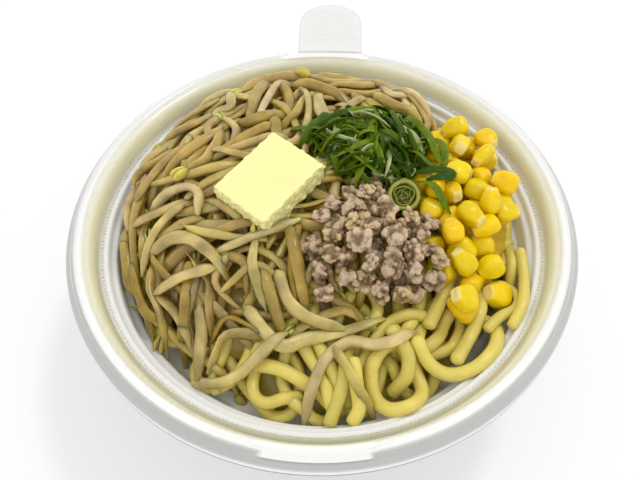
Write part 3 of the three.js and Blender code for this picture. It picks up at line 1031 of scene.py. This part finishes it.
def make_onion(pile, target):
    rng = np.random.default_rng(53)
    shape = Shape()
    chosen = [spline(plan, SHRED_STEP) for plan in TOP_SHREDS]
    goal = lane(target, chosen[:2], width=2.5, depth=2.0)
    for _ in range(SHREDS):
        places = roomy_places(rng, goal, pile, 1, 0.8)
        if not places:
            break
        closed = rng.random() < 0.12
        if closed:
            shares = np.arange(30) * TAU / 30
            long, short = rng.uniform(4, 8), rng.uniform(1.5, 2.8)
            plan = np.column_stack([long * np.cos(shares), short * np.sin(shares)])
            spin = rng.uniform(0, TAU)
            plan = plan @ np.array([[math.cos(spin), math.sin(spin)], [-math.sin(spin), math.cos(spin)]])
            plan += places[0]
        else:
            plan = wander(rng, places[0], rng.uniform(0, TAU), rng.uniform(9, 21), SHRED_STEP, 1 / 22, 1 / 5)
            plan += np.array(places[0]) - plan.mean(0)
        half_width = rng.uniform(0.7, 1.5)
        edgeways = 1.35 if closed else rng.choice([0, 0, 0.5, -0.5, 1.2])
        radii = np.full(len(plan), half_width * 0.5)
        z = pile.drape(plan, radii, slack=10, soft=6, sink=0.1)
        if np.mean(z - goal[cells(plan)] > 0.8) > 0.25:
            continue
        pale = rng.random() < 0.13
        z = add_shred(shape, rng, pile, plan, half_width, pale, rng.uniform(0, 1.2), closed, edgeways)
        pile.cover(plan, z - 0.2, np.full(len(plan), half_width * 0.55))
    for plan in chosen:
        add_shred(shape, rng, pile, plan, 1.5, pale=False, rise=0.6, closed=False, edgeways=0.3)
    material = food("scallion_green", roughness=0.36, grain=500, shade=0.25, relief=0.04, bump_width=1400,
                    inner=0.08, inner_colour=(0.6, 1, 0.2), inner_depth=0.6, coat=0.05, specular=0.12)
    shape.object("onion_shreds", material, "spring_onion")


def wall_round(radius, half_wall, half_height, phase, lobes, steps=80):
    """The points and faces of an upright wall round a centre, which bulges out in lobes."""
    outline = [(1, -0.9), (1, 0.9), (0.4, 1), (-0.4, 1), (-1, 0.9), (-1, -0.9), (-0.4, -1), (0.4, -1)]
    points = []
    for step in range(steps):
        angle = TAU * step / steps
        wobble = 1 + lobes * math.sin(3 * angle + phase) + 0.5 * lobes * math.sin(5 * angle + 2 * phase)
        for out, up in outline:
            distance = radius * wobble + out * half_wall
            points.append((distance * math.cos(angle), distance * math.sin(angle), up * half_height))
    return np.array(points), ring_faces(steps, len(outline), True)


def make_onion_ring():
    """Nested walls, from the green skin inwards, round a dark disc in the middle, which is painted shade in
    the ring's hollow.
    """
    shape = Shape()
    lean = math.radians(RING_LEAN)
    for radius, wall, height, lobes, tint in (
        (5.45, 0.14, 2.5, 0.015, (0.10, 0.15, 0.01)),
        (4.85, 0.72, 2.4, 0.02, (0.36, 0.36, 0.06)),
        (3.25, 0.24, 1.9, 0.08, (0.28, 0.32, 0.04)),
        (2.35, 0.26, 1.7, 0.22, (0.13, 0.20, 0.012)),
        (1.15, 0.28, 1.5, 0.25, (0.20, 0.25, 0.02)),
    ):
        points, faces = wall_round(radius, wall, height, radius * 2, lobes)
        shape.add(turned(points, lean, "X") + RING_MIDDLE, faces, tint)
    # The dark brown disc in the middle is painted shade in the ring's hollow.
    points, faces = BALL_COARSE
    middle = points * (4.6, 4.6, 0.9) - (0, 0, 0.8)
    shape.add(turned(middle, lean, "X") + RING_MIDDLE, faces, (0.28, 0.19, 0.02))
    material = food("scallion_ring", roughness=0.25, grain=600, shade=0.15, relief=0.05, bump_width=1500,
                    inner=0.2, inner_colour=(0.7, 1, 0.3), inner_depth=1.0, coat=0.2, specular=0.25)
    shape.object("onion_slice", material, "onion_ring")


def make_butter():
    size = np.array(BUTTER_SIZE) / 2
    work = bmesh.new()
    bmesh.ops.create_cube(work, size=2)
    bmesh.ops.subdivide_edges(work, edges=work.edges[:], cuts=47, use_grid_fill=True)
    points, faces = taken(work)
    shaped = points * size
    inner = np.clip(shaped, -(size - 0.9), size - 0.9)
    off = shaped - inner
    far = np.maximum(np.linalg.norm(off, axis=1), 1e-6)[:, None]
    shaped = np.where(far > 0.9, inner + off / far * 0.9, shaped)
    side = 1 - smoothstep(points[:, 2], 0.80, 1.0)
    outward = np.column_stack([points[:, 0], points[:, 1], np.zeros(len(points))])
    outward = np.where(np.abs(outward) > 0.97, np.sign(outward), 0)
    crumbs = np.array([noise.voronoi(Vector(p / 1.4))[0][0] for p in shaped])
    torn = 0.55 * (0.5 - crumbs) + 0.35 * ripples(shaped, 3.2, 5) + 0.25 * ripples(shaped, 1.3, 6)
    shaped += outward * (torn * side)[:, None]
    bottom = smoothstep(-points[:, 2], 0.3, 1.0)
    shaped[:, 2] -= bottom * 0.5 * ripples(shaped, 2.4, 8)
    shaped[:, 2] += 0.10 * ripples(shaped, 12, 9) * smoothstep(points[:, 2], 0.9, 1)
    tilted = turned(shaped, -math.radians(BUTTER_TILT), "Y")
    placed = turned(tilted, math.radians(BUTTER_TURN), "Z") + BUTTER_MIDDLE
    shape = Shape()
    cream = np.array([0.98, 0.92, 0.41])
    # Painted shade: the sides are darker than the top, most in the recesses between crumbs.
    shape.add(placed, faces, cream * (1 - 0.10 * side[:, None] * np.clip(crumbs, 0, 1)[:, None]))
    material = food("butter", roughness=0.38, grain=160, shade=0.03, relief=0.04, bump_width=700, inner=0.35,
                    inner_colour=(1, 0.85, 0.4))
    shape.object("butter_pat", material, "butter")


# ---- the scene ----
def make_stage():
    floor_mesh = bpy.data.meshes.new("floor")
    size = 3.0
    corners = [(size * x, size * y, 0) for x, y in ((-1, -1), (1, -1), (1, 1), (-1, 1))]
    floor_mesh.from_pydata(corners, [], [(0, 1, 2, 3)])
    floor = linked("floor", floor_mesh)
    material, tree, shader = new_material("pale_floor")
    feed(tree, shader, {"Base Color": (0.87, 0.87, 0.87, 1), "Roughness": 0.7})
    floor_mesh.materials.append(material)


def make_lights():
    """An even white sky, and a soft key light from above and a little behind."""
    world = bpy.data.worlds.new("studio")
    bpy.context.scene.world = world
    world.use_nodes = True
    tree = world.node_tree
    feed(tree, tree.nodes["Background"], {"Color": (1, 1, 1, 1), "Strength": 1.06})
    data = bpy.data.lights.new("key", "AREA")
    data.shape = "DISK"
    data.size = 0.2
    data.energy = 2.4
    key = linked("key", data)
    place, aim = Vector((0.35, 0.3, 1.2)), Vector((0, 0, 0.06))
    key.location = place
    key.rotation_euler = (aim - place).to_track_quat("-Z", "Y").to_euler()


def make_camera():
    data = bpy.data.cameras.new("camera")
    data.lens = LENS
    data.sensor_width = 36
    camera = linked("camera", data)
    place, aim = Vector(CAMERA_PLACE) * MM, Vector(CAMERA_AIM) * MM
    look = (aim - place).to_track_quat("-Z", "Y").to_matrix().to_4x4()
    roll = Matrix.Rotation(math.radians(CAMERA_ROLL), 4, "Z")
    camera.matrix_world = Matrix.Translation(place) @ look @ roll
    data.clip_start = 0.01
    bpy.context.scene.camera = camera


make_camera()
make_stage()
make_lights()
bpy.context.scene.view_settings.view_transform = "Standard"

make_bowl()
make_tray()
pile = Pile(empty_tray())
toppings = {node: tops(node) for node in ("bean_sprouts", "corn", "minced_pork", "spring_onion")}
make_noodles(pile, tops("noodles"), np.maximum.reduce(list(toppings.values())))
make_sprouts(pile, toppings["bean_sprouts"])
make_corn(pile, toppings["corn"])
make_pork(pile, toppings["minced_pork"])
make_onion(pile, toppings["spring_onion"])
make_onion_ring()
make_butter()
